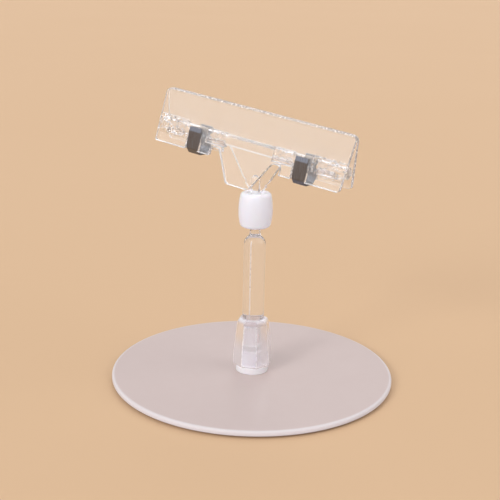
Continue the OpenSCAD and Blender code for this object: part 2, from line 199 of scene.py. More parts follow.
def mixed(tree, share, first, second):
    """A Mix node's colour, from the first to the second by the share. Each is a colour or a node's output."""
    blend = tree.nodes.new("ShaderNodeMix")
    blend.data_type = "RGBA"
    tree.links.new(share, blend.inputs[0])
    for socket, colour in ((blend.inputs[6], first), (blend.inputs[7], second)):
        if isinstance(colour, tuple):
            socket.default_value = colour
        else:
            tree.links.new(colour, socket)
    return blend.outputs[2]


def roughened(finish, value, low, high):
    """Drives the roughness from a pattern: low up to the noise's low height, high from its high one, and even
    between, where most of a noise lies."""
    tree = finish.node_tree
    rough = ranged(tree, value, noise_low, noise_high, low, high)
    tree.links.new(rough, tree.nodes["Principled BSDF"].inputs["Roughness"])


def tinted(finish, value, low, high):
    """Drives the base colour from a pattern, from one colour to another."""
    tree = finish.node_tree
    tree.links.new(mixed(tree, value, low, high), tree.nodes["Principled BSDF"].inputs["Base Color"])


def rimmed(finish, inner, outer, colour):
    """Fades the base colour to another one from an inner to an outer distance from the upright axis."""
    tree = finish.node_tree
    flat = tree.nodes.new("ShaderNodeVectorMath")
    flat.operation = "MULTIPLY"
    flat.inputs[1].default_value = (1, 1, 0)
    distance = tree.nodes.new("ShaderNodeVectorMath")
    distance.operation = "LENGTH"
    tree.links.new(tree.nodes.new("ShaderNodeTexCoord").outputs["Object"], flat.inputs[0])
    tree.links.new(flat.outputs["Vector"], distance.inputs[0])
    share = ranged(tree, distance.outputs["Value"], inner, outer)
    base = tree.nodes["Principled BSDF"].inputs["Base Color"]
    tree.links.new(mixed(tree, share, base.links[0].from_socket, colour), base)


def relief(finish, value, depth, strength=1.0):
    """Raises the surface by a pattern, the depth in metres. A second call adds to the first."""
    nodes, links = finish.node_tree.nodes, finish.node_tree.links
    normal = nodes["Principled BSDF"].inputs["Normal"]
    bump = nodes.new("ShaderNodeBump")
    bump.inputs["Distance"].default_value = depth
    bump.inputs["Strength"].default_value = strength
    if normal.is_linked:
        links.new(normal.links[0].from_socket, bump.inputs["Normal"])
    links.new(value, bump.inputs["Height"])
    links.new(bump.outputs["Normal"], normal)


plate_profile = rounded([
    (plate_sink_r, plate_low.z, plate_sink_edge),
    (plate_r, plate_low.z, plate_rim_r),
    (plate_r, plate_high.z, plate_rim_r),
    (plate_hole_r, plate_high.z, plate_hole_edge),
    (plate_hole_r, plate_low.z + plate_sink_h, plate_sink_edge),
], steps=9)
plate_mesh = skin("coated_plate", turned(held(plate_profile, margin=0.15 * mm), turns=224))

satin_coat = finish_of("satin_coat", {"IOR": 1.5, "Coat Weight": 0.12, "Coat Roughness": 0.25})
tinted(satin_coat, noise(satin_coat, 35, 4), plate_shade, plate_white)
# The coat is painted paler towards the edge of the plate, a painted highlight where the rolled rim catches
# the light.
rimmed(satin_coat, plate_r - rim_highlight_start, plate_r - rim_highlight_end, rim_painted_highlight)
roughened(satin_coat, noise(satin_coat, 160, 3), 0.36, 0.46)
relief(satin_coat, noise(satin_coat, 900, 2), depth=0.012 * mm, strength=0.5)
piece(plate_mesh, satin_coat, "base", "white_coated_steel", "base_plate")


# Foam pad
# A thin ring of grey closed-cell foam with an adhesive back, stuck under the plate so that it doesn't
# slide or scratch. It stops short of the rim and leaves the screw head free.

pad_low, pad_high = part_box("base_pad")
pad_r = pad_high.x
pad_hole_r = 7 * mm
pad_edge = 0.2 * mm
pad_glued_edge = 0.05 * mm
foam_dark = (0.026, 0.026, 0.028, 1.0)
foam_light = (0.055, 0.055, 0.058, 1.0)

pad_profile = rounded([
    (pad_hole_r, pad_low.z, pad_edge),
    (pad_r, pad_low.z, pad_edge),
    (pad_r, pad_high.z, pad_glued_edge),
    (pad_hole_r, pad_high.z, pad_glued_edge),
], steps=4)
pad_mesh = skin("foam_ring", turned(held(pad_profile, margin=0.1 * mm), turns=160))

foam = finish_of("closed_cell_foam", {"Roughness": 0.92, "IOR": 1.45})
foam_cells = pattern(foam, "ShaderNodeTexVoronoi", 2400)
tinted(foam, foam_cells, foam_dark, foam_light)
relief(foam, foam_cells, depth=0.06 * mm, strength=0.8)
piece(pad_mesh, foam, "base", "grey_foam", "base_pad")


# Fixing screw
# A small zinc plated countersunk screw with a cross recess. It goes up through the plate from below, cuts
# its thread into the hub's hole and holds the hub down.

screw_low, screw_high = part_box("base_screw")
screw_head_r = screw_high.x
screw_r = 1.5 * mm
screw_head_h = 1.4 * mm
head_rim = 0.1 * mm
head_edge = 0.08 * mm
head_root = 0.2 * mm
tip_h = 0.2 * mm
tip_shoulder_r = 0.82 * screw_r
tip_r = 0.45 * screw_r
thread_pitch = 0.6 * mm
thread_depth = 0.24 * mm
thread_start = 0.15 * mm
thread_stop = 0.5 * mm
recess_w = 0.8 * mm
recess_len = 3 * mm
recess_depth = 0.8 * mm
recess_slope = 0.16 * mm
face_steps = 40
head_steps = 6
shank_steps = 84
zinc_pale = (0.66, 0.66, 0.66, 1.0)
zinc_blue = (0.53, 0.56, 0.60, 1.0)

head_face_r = np.linspace(0, screw_head_r - head_rim, face_steps)
head_face = np.stack([head_face_r, np.full(face_steps, screw_low.z)], axis=-1)
head_side = rounded([
    (0, screw_low.z, 0),
    (screw_head_r, screw_low.z, head_edge),
    (screw_r, screw_low.z + screw_head_h, head_root),
    (screw_r, screw_high.z, 0),
], steps=head_steps)[head_steps:3 * head_steps]
shank_z = np.linspace(screw_low.z + screw_head_h + thread_start, screw_high.z - thread_stop, shank_steps)
shank = np.stack([np.full(shank_steps, screw_r), shank_z], axis=-1)
tip = np.array([[tip_shoulder_r, screw_high.z - tip_h], [tip_r, screw_high.z], [0, screw_high.z]])
screw_grid = turned(np.concatenate([head_face, head_side, shank, tip]), turns=96)

# Thread: the radius drops by a rounded wave of height / pitch less one turn for each turn, faded at its ends.
screw_angle = np.arctan2(screw_grid[..., 1], screw_grid[..., 0])
wave = 0.5 - 0.5 * np.cos(2 * math.pi * (screw_grid[..., 2] / thread_pitch) - screw_angle)
fade = np.clip((screw_grid[..., 2] - shank_z[0]) / thread_pitch, 0, 1)
fade = fade * np.clip((shank_z[-1] - screw_grid[..., 2]) / thread_pitch, 0, 1)
across = np.hypot(screw_grid[..., 0], screw_grid[..., 1])
shrink = 1 - thread_depth * wave ** 2 * fade / np.maximum(across, mm)
screw_grid[..., :2] *= shrink[..., None]

# Recess: the head's face rises inside two crossed bars whose walls lean by the recess slope.
near, far = np.moveaxis(np.sort(np.abs(screw_grid[..., :2]), axis=-1), -1, 0)
cross = np.clip((recess_w / 2 - near) / recess_slope, 0, 1)
cross = cross * np.clip((recess_len / 2 - far) / recess_slope, 0, 1)
on_face = np.arange(screw_grid.shape[1]) < len(head_face)
screw_grid[..., 2] += recess_depth * cross * on_face
screw_mesh = skin("cross_screw", screw_grid, closed=False, sharp=50)

zinc = finish_of("zinc_plate", {"Metallic": 1.0})
tinted(zinc, noise(zinc, 700, 3), zinc_pale, zinc_blue)
roughened(zinc, noise(zinc, 2600, 2), 0.26, 0.44)
piece(screw_mesh, zinc, "base", "zinc_steel", "base_screw")


# Hub
# A white moulded boss: a round flange that sits on the plate and a stud that fills the foot of the collar
# nut. The stud has a socket in its top for the foot of the post, and a blind hole below for the screw.

hub_low, hub_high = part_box("hub")
hub_r = hub_high.x
hub_flange_h = 2.9 * mm
hub_stud_r = 5.85 * mm
hub_hole_r = 1.52 * mm
hub_hole_h = 4.5 * mm
hub_socket_r = 4.25 * mm
hub_socket_h = 3.4 * mm
hub_foot_edge = 0.3 * mm
hub_flange_edge = 0.6 * mm
hub_stud_edge = 0.35 * mm
hub_hole_edge = 0.15 * mm
hub_hole_end = 0.1 * mm
hub_inner_edge = 0.2 * mm
hub_white = (0.90, 0.90, 0.94, 1.0)
hub_shade = (0.86, 0.86, 0.90, 1.0)

hub_profile = rounded([
    (0, hub_low.z + hub_hole_h, 0),
    (hub_hole_r, hub_low.z + hub_hole_h, hub_hole_end),
    (hub_hole_r, hub_low.z, hub_hole_edge),
    (hub_r, hub_low.z, hub_foot_edge),
    (hub_r, hub_low.z + hub_flange_h, hub_flange_edge),
    (hub_stud_r, hub_low.z + hub_flange_h, hub_inner_edge),
    (hub_stud_r, hub_high.z, hub_stud_edge),
    (hub_socket_r, hub_high.z, hub_inner_edge),
    (hub_socket_r, hub_high.z - hub_socket_h, hub_inner_edge),
    (0, hub_high.z - hub_socket_h, 0),
])
hub_mesh = skin("hub_boss", turned(held(hub_profile, margin=0.1 * mm, closed=False)), closed=False)

hub_plastic = finish_of("hub_plastic", {"IOR": 1.49, "Subsurface Weight": 0.08, "Subsurface Scale": 1.5 * mm})
tinted(hub_plastic, noise(hub_plastic, 220, 3), hub_shade, hub_white)
roughened(hub_plastic, noise(hub_plastic, 900, 2), 0.3, 0.42)
relief(hub_plastic, noise(hub_plastic, 3200, 2), depth=0.004 * mm, strength=0.5)
piece(hub_mesh, hub_plastic, "base", "white_plastic", "hub")


# Collar nut
# A hollow eight sided nut moulded in hazy clear plastic. It tapers above a straighter grip band, ends in a
# rounded shoulder and a cap round the post, and turns on the hub's stud to clamp the post.

nut_low, nut_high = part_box("collar_nut")
nut_flat_foot = 7.2 * mm
nut_flat_band = 6.9 * mm
nut_band_h = 6.5 * mm
nut_taper = math.radians(5.8)
nut_bore_r = 5.9 * mm
nut_bore_h = 5.7 * mm
nut_hole_r = 4.25 * mm
nut_cap_t = 3 * mm
nut_shoulder_r = 2.1 * mm
nut_edge_r = 0.45 * mm
nut_foot_edge = 0.5 * mm
nut_band_round = 2 * mm
nut_hole_edge = 0.25 * mm
nut_hole_root = 0.1 * mm
nut_bore_edge = 0.3 * mm
nut_turn = math.radians(42.5)
corner_highlight_half = math.radians(1.45)
haze = (0.91, 0.895, 0.93, 1.0)
haze_shade = (0.86, 0.845, 0.885, 1.0)
corner_highlight_white = (0.98, 0.97, 0.98, 1.0)
cap_shaded_light = (0.8, 0.75, 0.79, 1.0)
cap_shaded_dark = (0.74, 0.69, 0.73, 1.0)
haze_shadow = (0.74, 0.71, 0.69, 1.0)
matt_shadow = (0.7, 0.7, 0.71, 1.0)
cap_shadow = (0.6, 0.58, 0.58, 1.0)


def eight_sided(rows, steps=9):
    """Grid of rings with eight rounded corners. A row is (half width over flats, height, share): its corner
    radius goes from the edge radius at share 0 to the half width at share 1, where the ring is a circle.
    A ring's point is its corner's centre plus the corner radius along the direction that it faces."""
    width, height, share = rows.T
    corner_r = (1 - share) * nut_edge_r + share * width
    corner = nut_turn + np.arange(8) * math.pi / 4
    faces = corner[:, None] + np.linspace(-math.pi / 8, math.pi / 8, steps)
    corner = np.repeat(corner, steps)[:, None]
    faces = faces.reshape(-1, 1)
    centre_r = (width - corner_r) / math.cos(math.pi / 8)
    x = centre_r * np.cos(corner) + corner_r * np.cos(faces)
    y = centre_r * np.sin(corner) + corner_r * np.sin(faces)
    return np.stack([x, y, height + 0 * x], axis=-1)


nut_flat_top = nut_flat_band - (nut_high.z - nut_low.z - nut_band_h) * math.tan(nut_taper)
nut_cap_r = nut_bore_r - (nut_high.z - nut_cap_t - nut_low.z - nut_bore_h) * math.tan(nut_taper)
nut_steps = 8
nut_profile = rounded([
    (nut_flat_foot, nut_low.z, nut_foot_edge),
    (nut_flat_band, nut_low.z + nut_band_h, nut_band_round),
    (nut_flat_top, nut_high.z, nut_shoulder_r),
    (nut_hole_r, nut_high.z, nut_hole_edge),
    (nut_hole_r, nut_high.z - nut_cap_t, nut_hole_root),
    (nut_cap_r, nut_high.z - nut_cap_t, nut_bore_edge),
    (nut_bore_r, nut_low.z + nut_bore_h, nut_band_round),
    (nut_bore_r, nut_low.z, nut_bore_edge),
], steps=nut_steps)
nut_share = np.repeat([0, 0, 0, 1, 1, 1, 1, 1], nut_steps)
nut_rows = held(np.column_stack([nut_profile, nut_share]), margin=0.12 * mm)
nut_mesh = skin("frosted_nut", eight_sided(nut_rows), sharp=60)


def lamps_through(finish, tint):
    """Lets rays from lamps pass the surface, tinted, so that a clear piece throws a light shadow."""
    nodes, links = finish.node_tree.nodes, finish.node_tree.links
    path = nodes.new("ShaderNodeLightPath")
    passing = nodes.new("ShaderNodeBsdfTransparent")
    passing.inputs["Color"].default_value = tint
    choice = nodes.new("ShaderNodeMixShader")
    links.new(path.outputs["Is Shadow Ray"], choice.inputs[0])
    links.new(nodes["Principled BSDF"].outputs["BSDF"], choice.inputs[1])
    links.new(passing.outputs["BSDF"], choice.inputs[2])
    links.new(choice.outputs["Shader"], nodes["Material Output"].inputs["Surface"])


frosted = finish_of("frosted_plastic", {"IOR": 1.46, "Transmission Weight": 0.76})
tinted(frosted, noise(frosted, 260, 3), haze_shade, haze)
roughened(frosted, noise(frosted, 1200, 3), 0.15, 0.25)
relief(frosted, noise(frosted, 5000, 2), depth=0.004 * mm, strength=0.4)
lamps_through(frosted, haze_shadow)
piece(nut_mesh, frosted, "collar", "frosted_plastic", "collar_nut")

# Corners: the rounded edges between the flats are paler and matt, a painted highlight along each corner line.
corner_highlight_finish = finish_of("corner_highlight_plastic", {"IOR": 1.46, "Transmission Weight": 0.45})
tinted(corner_highlight_finish, noise(corner_highlight_finish, 700, 2), haze, corner_highlight_white)
roughened(corner_highlight_finish, noise(corner_highlight_finish, 1400, 2), 0.22, 0.36)
lamps_through(corner_highlight_finish, matt_shadow)
nut_mesh.materials.append(corner_highlight_finish)

# Cap: the shoulder and the ring round the post are milkier than the flats, because the wall is thick there,
# and greyer and darker: painted shade that holds down the light on the upturned shoulder.
milky_shaded_cap = finish_of("milky_shaded_cap_plastic", {"IOR": 1.46, "Transmission Weight": 0.72})
tinted(milky_shaded_cap, noise(milky_shaded_cap, 400, 3), cap_shaded_dark, cap_shaded_light)
roughened(milky_shaded_cap, noise(milky_shaded_cap, 1200, 3), 0.3, 0.42)
lamps_through(milky_shaded_cap, cap_shadow)
nut_mesh.materials.append(milky_shaded_cap)


def read(items, name, width=1, kind=float):
    """One property of all points, edges, corners or faces of a mesh, as an array with a row for each."""
    values = np.empty(len(items) * width, kind)
    items.foreach_get(name, values)
    return values if width == 1 else values.reshape(-1, width)


x, y, z = read(nut_mesh.polygons, "center", 3).T
# Faces close to a corner take the painted corner highlight.
off_corner = np.mod(np.arctan2(y, x) - nut_turn + math.pi / 8, math.pi / 4) - math.pi / 8
on_corner_highlight = np.abs(off_corner) < corner_highlight_half
# Faces on the shoulder and cap take the painted shade.
on_shaded_cap = z > nut_high.z - nut_shoulder_r
nut_mesh.polygons.foreach_set("material_index", np.where(on_shaded_cap, 2, on_corner_highlight).astype(np.int32))


# Post
# A clear moulded rod. Its foot stands in the hub's socket, a ring below the cap of the collar nut keeps it
# from pulling out, and its round end leads to a thin neck with a ball that snaps into the barrel.

post_low, post_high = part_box("stem")
post_r = 4.2 * mm
post_ring_r = 4.65 * mm
post_ring_low = 20.4 * mm
post_ring_t = 1.5 * mm
post_foot_edge = 0.4 * mm
post_ring_edge = 0.25 * mm
post_ring_root = 0.15 * mm
post_top = 58 * mm
post_neck_root_r = 2.35 * mm
post_neck_foot_h = 2.6 * mm
post_neck_round = 3 * mm
neck_r = 1.8 * mm
ball_r = 2.9 * mm
lower_ball_z = post_high.z - ball_r
highlight_seam_at = math.radians(-79)
highlight_seam_half = 0.3 * mm
dome_steps = 28
ball_steps = 40
clear_tint = (0.965, 0.975, 0.985, 1.0)
clear_warm = (0.985, 0.985, 0.98, 1.0)
clear_shadow = (0.76, 0.73, 0.71, 1.0)

post_dome_z = post_top - math.sqrt(post_r ** 2 - post_neck_root_r ** 2)
post_shaft = rounded([
    (0, post_low.z, 0),
    (post_r, post_low.z, post_foot_edge),
    (post_r, post_ring_low, post_ring_root),
    (post_ring_r, post_ring_low, post_ring_edge),
    (post_ring_r, post_ring_low + post_ring_t, post_ring_edge),
    (post_r, post_ring_low + post_ring_t, post_ring_root),
    (post_r, post_dome_z, 0),
])[:-arc_steps]
dome_angle = np.linspace(0, math.acos(post_neck_root_r / post_r), dome_steps)
post_dome = np.stack([post_r * np.cos(dome_angle), post_dome_z + post_r * np.sin(dome_angle)], axis=-1)
post_neck = rounded([
    (post_neck_root_r, post_top, 0),
    (neck_r, post_top + post_neck_foot_h, post_neck_round),
    (neck_r, lower_ball_z, 0),
])[arc_steps:2 * arc_steps]
ball_angle = np.linspace(math.asin(neck_r / ball_r), math.pi, ball_steps)
post_ball = np.stack([ball_r * np.sin(ball_angle), lower_ball_z - ball_r * np.cos(ball_angle)], axis=-1)
post_profile = np.concatenate([post_shaft, post_dome, post_neck, post_ball])
post_mesh = skin("clear_post", turned(held(post_profile, margin=0.1 * mm, closed=False)), closed=False)

clear = finish_of("clear_plastic", {
    "IOR": 1.49,
    "Transmission Weight": 0.955,
    "Sheen Weight": 0.3,
    "Sheen Roughness": 0.35,
})
tinted(clear, noise(clear, 90, 2), clear_tint, clear_warm)
roughened(clear, noise(clear, 420, 3), 0.015, 0.05)
relief(clear, noise(clear, 240, 1), depth=0.02 * mm, strength=0.35)
lamps_through(clear, clear_shadow)
piece(post_mesh, clear, "post", "clear_plastic", "stem")

# Seam: a narrow frosted, paler line on opposite sides of the rod where the mould's halves part, turned to
# where the rod's bright streak falls: partly a real parting line, partly painted highlight.
highlight_seam = finish_of("highlight_seam_plastic", {"IOR": 1.49, "Transmission Weight": 0.65})
tinted(highlight_seam, noise(highlight_seam, 800, 2), haze_shade, clear_warm)
roughened(highlight_seam, noise(highlight_seam, 1600, 2), 0.25, 0.4)
lamps_through(highlight_seam, matt_shadow)
post_mesh.materials.append(highlight_seam)
x, y, z = read(post_mesh.polygons, "center", 3).T
off_highlight_seam = np.abs(x * math.cos(highlight_seam_at) + y * math.sin(highlight_seam_at)) / np.maximum(np.hypot(x, y), mm)
on_highlight_seam = (off_highlight_seam > math.cos(highlight_seam_half / post_r)) & (z > post_ring_low) & (z < post_dome_z + post_r / 2)
post_mesh.polygons.foreach_set("material_index", on_highlight_seam.astype(np.int32))


# Barrel
# A glossy white moulded sleeve with a bulging side. A ball socket in each end, with a flared mouth, holds
# the post's ball below and the clip's ball above, stiffly enough to stay where they are put.

barrel_low, barrel_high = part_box("barrel")
barrel_r = barrel_high.x
barrel_bulge = 0.85 * mm
barrel_round = 1.6 * mm
socket_r = 2.95 * mm
mouth_tilt = math.radians(23)
mouth_root_r = neck_r / math.cos(mouth_tilt) + 0.05 * mm
mouth_rim = 0.3 * mm
side_steps = 40
end_steps = 14
socket_steps = 36
barrel_white = (0.90, 0.91, 0.98, 1.0)
barrel_shade = (0.87, 0.88, 0.955, 1.0)

barrel_mid = (barrel_low.z + barrel_high.z) / 2
barrel_half = (barrel_high.z - barrel_low.z) / 2
bulge_r = (barrel_half ** 2 + barrel_bulge ** 2) / (2 * barrel_bulge)
upper_ball_z = barrel_low.z + barrel_high.z - lower_ball_z

# Side: a shallow arc whose ends run smoothly into the arc of each corner.
end_angle = math.asin((barrel_half - barrel_round) / (bulge_r - barrel_round))
end_mid_r = barrel_r - bulge_r + (bulge_r - barrel_round) * math.cos(end_angle)
side_angle = np.linspace(-end_angle, end_angle, side_steps)
end_turn = np.linspace(end_angle, math.pi / 2, end_steps)[1:]
side_arc = bulge_r * np.stack([np.cos(side_angle), np.sin(side_angle)], axis=-1) + (barrel_r - bulge_r, 0)
end_arc = barrel_round * np.stack([np.cos(end_turn), np.sin(end_turn)], axis=-1)
end_arc += (end_mid_r, barrel_half - barrel_round)
barrel_side = np.concatenate([end_arc[::-1] * (1, -1), side_arc, end_arc])

# Socket: the sphere from its pole to where the flared mouth's cone meets it, the root of a quadratic.
flare = math.tan(mouth_tilt)
mouth_meet = math.sqrt((mouth_root_r * flare) ** 2 + (1 + flare ** 2) * (socket_r ** 2 - mouth_root_r ** 2))
mouth_meet = (mouth_meet - mouth_root_r * flare) / (1 + flare ** 2)
socket_angle = np.linspace(0, math.pi - math.acos(mouth_meet / socket_r), socket_steps)
socket_z = upper_ball_z - barrel_mid
socket = np.stack([socket_r * np.sin(socket_angle), socket_z - socket_r * np.cos(socket_angle)], axis=-1)
mouth_r = mouth_root_r + (barrel_half - socket_z) * flare
mouth = rounded([
    (socket[-1, 0], socket[-1, 1], 0),
    (mouth_r, barrel_half, mouth_rim),
    (end_mid_r, barrel_half, 0),
])[arc_steps:2 * arc_steps]
upper_half = np.concatenate([barrel_side, mouth[::-1], socket[::-1]])
lower_half = np.concatenate([socket, mouth]) * (1, -1)
barrel_profile = np.concatenate([lower_half, upper_half]) + (0, barrel_mid)
barrel_mesh = skin("white_barrel", turned(barrel_profile), closed=False, sharp=40)

gloss_white = finish_of("gloss_white_plastic", {
    "IOR": 1.5,
    "Coat Weight": 0.4,
    "Coat Roughness": 0.08,
    "Subsurface Weight": 0.12,
    "Subsurface Scale": 2 * mm,
})
tinted(gloss_white, noise(gloss_white, 180, 2), barrel_shade, barrel_white)
roughened(gloss_white, noise(gloss_white, 700, 3), 0.16, 0.26)
relief(gloss_white, noise(gloss_white, 300, 1), depth=0.01 * mm, strength=0.25)
piece(barrel_mesh, gloss_white, "barrel", "white_gloss_plastic", "barrel")


# Clip jaws
# Two clear moulded plates that lean together and meet along the top to grip a card. The rear one carries
# the hinge rod and the ball stud. The front one rides on the rod with four frosted saddle blocks.

hinge_at = np.array(next(j for j in frame["joints"] if j["name"] == "jaw_open")["pos_m"])
lean_back = math.radians(3.4)
side_tilt = math.radians(7.3)
clip_turn = Matrix.Rotation(-lean_back, 3, "X") @ Matrix.Rotation(side_tilt, 3, "Y")
clip_axes = np.array(clip_turn)
clip_euler = clip_turn.to_euler()
jaw_edge = 0.1 * mm
edge_turn = math.radians(28)
flat_turn = math.radians(0.6)
sharp_turn = math.radians(30)
merge_gap = 0.001 * mm
block_spans = ((10.2 * mm, 18.4 * mm), (28.6 * mm, 35.4 * mm))
block_half_h = 2.75 * mm
block_depth = 3.6 * mm
block_margin = 0.05 * mm
rod_half = 39.2 * mm
stud_top = -9 * mm
stud_y = 8 * mm
stud_zone = 2.8 * mm
zone_x = 26 * mm
zone_low = -3 * mm
zone_high = 4 * mm
zone_border = 0.5 * mm
wall_lean = 0.1
wall_rise = 0.3
wall_shadow = (0.75, 0.75, 0.76, 1.0)


def moulded(name, node):
    """A copy of a CAD node's mesh as one closed moulding: its triangles are merged, and flat regions become
    single faces."""
    source = frame["nodes"][node].data
    points = read(source.vertices, "co", 3)
    corners = read(source.loops, "vertex_index", kind=int).reshape(-1, 3)
    mesh = bpy.data.meshes.new(name)
    mesh.from_pydata(points.tolist(), [], corners.tolist())
    shape = bmesh.new()
    shape.from_mesh(mesh)
    bmesh.ops.remove_doubles(shape, verts=shape.verts, dist=merge_gap)
    bmesh.ops.dissolve_limit(shape, angle_limit=flat_turn, verts=shape.verts, edges=shape.edges)
    shape.to_mesh(mesh)
    shape.free()
    mesh.shade_smooth()
    mesh.set_sharp_from_angle(angle=sharp_turn)
    return mesh


def softened(made):
    """Rounds a moulding's outer corners with a Bevel modifier and keeps its flats flat with weighted normals.
    An edge is an outer corner where its faces' normals, crossed in turn, point along it as the first face
    goes round, and where they turn by more than the edge turn."""
    mesh = made.data
    points = read(mesh.vertices, "co", 3)
    ends = read(mesh.edges, "vertices", 2, int)
    normals = read(mesh.polygons, "normal", 3)
    sides = read(mesh.polygons, "loop_total", kind=int)
    starts = read(mesh.loops, "vertex_index", kind=int)
    beside = np.argsort(read(mesh.loops, "edge_index", kind=int), kind="stable").reshape(-1, 2)
    start = starts[beside[:, 0]]
    along = points[ends.sum(axis=1) - start] - points[start]
    facing = normals[np.repeat(np.arange(len(sides)), sides)[beside]]
    outer = (np.cross(facing[:, 0], facing[:, 1]) * along).sum(axis=1) > 0
    outer &= (facing[:, 0] * facing[:, 1]).sum(axis=1) < math.cos(edge_turn)
    mesh.attributes.new("bevel_weight_edge", "FLOAT", "EDGE").data.foreach_set("value", outer.astype(float))
    bevel = made.modifiers.new("mould_edge", "BEVEL")
    bevel.width = jaw_edge
    bevel.segments = 3
    bevel.limit_method = "WEIGHT"
    bevel.use_clamp_overlap = False
    made.modifiers.new("flat_faces", "WEIGHTED_NORMAL").keep_sharp = True


def etched_zone(finish, value):
    """A pattern kept to the two end zones of a jaw: where the place along the clip is past the springs and
    the height above the hinge is within the zone, each with a soft border. Elsewhere it is 0."""
    tree = finish.node_tree
    nodes, links = tree.nodes, tree.links
    place = nodes.new("ShaderNodeMapping")
    place.vector_type = "TEXTURE"
    place.inputs["Location"].default_value = hinge_at
    place.inputs["Rotation"].default_value = clip_euler
    links.new(nodes.new("ShaderNodeTexCoord").outputs["Object"], place.inputs["Vector"])
    axes = nodes.new("ShaderNodeSeparateXYZ")
    links.new(place.outputs["Vector"], axes.inputs["Vector"])
    along = nodes.new("ShaderNodeMath")
    along.operation = "ABSOLUTE"
    links.new(axes.outputs["X"], along.inputs[0])
    for axis, start, end in (
        (along.outputs[0], zone_x, zone_x + zone_border),
        (axes.outputs["Z"], zone_low, zone_low + zone_border),
        (axes.outputs["Z"], zone_high, zone_high - zone_border),
    ):
        product = nodes.new("ShaderNodeMath")
        product.operation = "MULTIPLY"
        links.new(value, product.inputs[0])
        links.new(ranged(tree, axis, start, end), product.inputs[1])
        value = product.outputs[0]
    return value


front_clear = clear.copy()
front_clear.name = "clear_etched_plastic"
zone_cells = pattern(front_clear, "ShaderNodeTexVoronoi", 680)
relief(front_clear, etched_zone(front_clear, zone_cells), depth=0.55 * mm, strength=0.9)

rear_jaw = piece(moulded("clear_rear_jaw", "rear_jaw"), clear, "rear_clip", "clear_plastic", "rear_jaw")
front_jaw = piece(
    moulded("clear_front_jaw", "front_jaw"), front_clear, "front_clip", "clear_plastic", "front_jaw")
softened(rear_jaw)
softened(front_jaw)

# Outline walls: they are matt and paler, partly the matt parting faces of the mould and partly painted
# highlight for the light that gathers in the edges, so they show as pale bands. A face is part of one where
# it looks along the plate or upwards, away from the rod and the stud.
pale_wall_highlight = finish_of("pale_wall_highlight_plastic", {"IOR": 1.49, "Transmission Weight": 0.66})
tinted(pale_wall_highlight, noise(pale_wall_highlight, 900, 3), haze_shade, clear_warm)
roughened(pale_wall_highlight, noise(pale_wall_highlight, 1500, 3), 0.16, 0.34)
lamps_through(pale_wall_highlight, wall_shadow)

# Saddle blocks: their faces are etched in the mould.
etched = finish_of("etched_plastic", {"IOR": 1.49, "Transmission Weight": 0.88})
tinted(etched, noise(etched, 900, 3), haze_shade, clear_warm)
roughened(etched, noise(etched, 1500, 3), 0.05, 0.22)
relief(etched, pattern(etched, "ShaderNodeTexVoronoi", 620), depth=0.45 * mm, strength=0.9)
lamps_through(etched, matt_shadow)

for jaw in (rear_jaw, front_jaw):
    jaw.data.materials.append(pale_wall_highlight)
    jaw.data.materials.append(etched)
    x, y, z = ((read(jaw.data.polygons, "center", 3) - hinge_at) @ clip_axes).T
    face_y, face_z = (read(jaw.data.polygons, "normal", 3) @ clip_axes).T[1:]
    near_rod = (np.abs(x) < rod_half) & (np.hypot(y, z) < block_depth)
    near_stud = (z < stud_top) & (np.hypot(x, y - stud_y) < stud_zone)
    # Wall faces take the paler finish, partly painted highlight.
    wall = ((np.abs(face_y) < wall_lean) | (face_z > wall_rise)) & ~near_rod & ~near_stud
    in_block = np.zeros(len(x), bool)
    for inner, outer in block_spans:
        in_block |= (np.abs(x) > inner - block_margin) & (np.abs(x) < outer + block_margin)
    in_block &= (np.abs(z) < block_half_h) & (y > -block_depth) & (jaw == front_jaw)
    jaw.data.polygons.foreach_set("material_index", np.where(in_block, 2, wall).astype(np.int32))


# Clip springs
# Two bent strips of dark rolled spring steel. Each hangs below the hinge in a slot through both jaws, and
# its two ends press on the outer faces of the jaws, which shuts them at the top.

spring_x = 22.6 * mm
spring_w = 5.2 * mm
spring_t = 0.55 * mm
spring_edge = 0.12 * mm
spring_tip_z = 2.1 * mm
spring_bend_z = 0.5 * mm
spring_floor_z = -7.45 * mm
spring_chamfer = 1.6 * mm
spring_bend_r = 0.7 * mm
jaw_angle = math.radians(14)
jaw_top = 13.7 * mm
grip_out = 1.1 * mm
spring_seat = 0.04 * mm
spring_steps = 8
steel_dark = (0.12, 0.128, 0.152, 1.0)
steel_pale = (0.225, 0.24, 0.28, 1.0)


def jaw_face(height):
    """Distance of a jaw's outer face from the middle plane: it grows below the grip by the jaw's slope."""
    return grip_out + (jaw_top - height) * math.tan(jaw_angle) + spring_seat


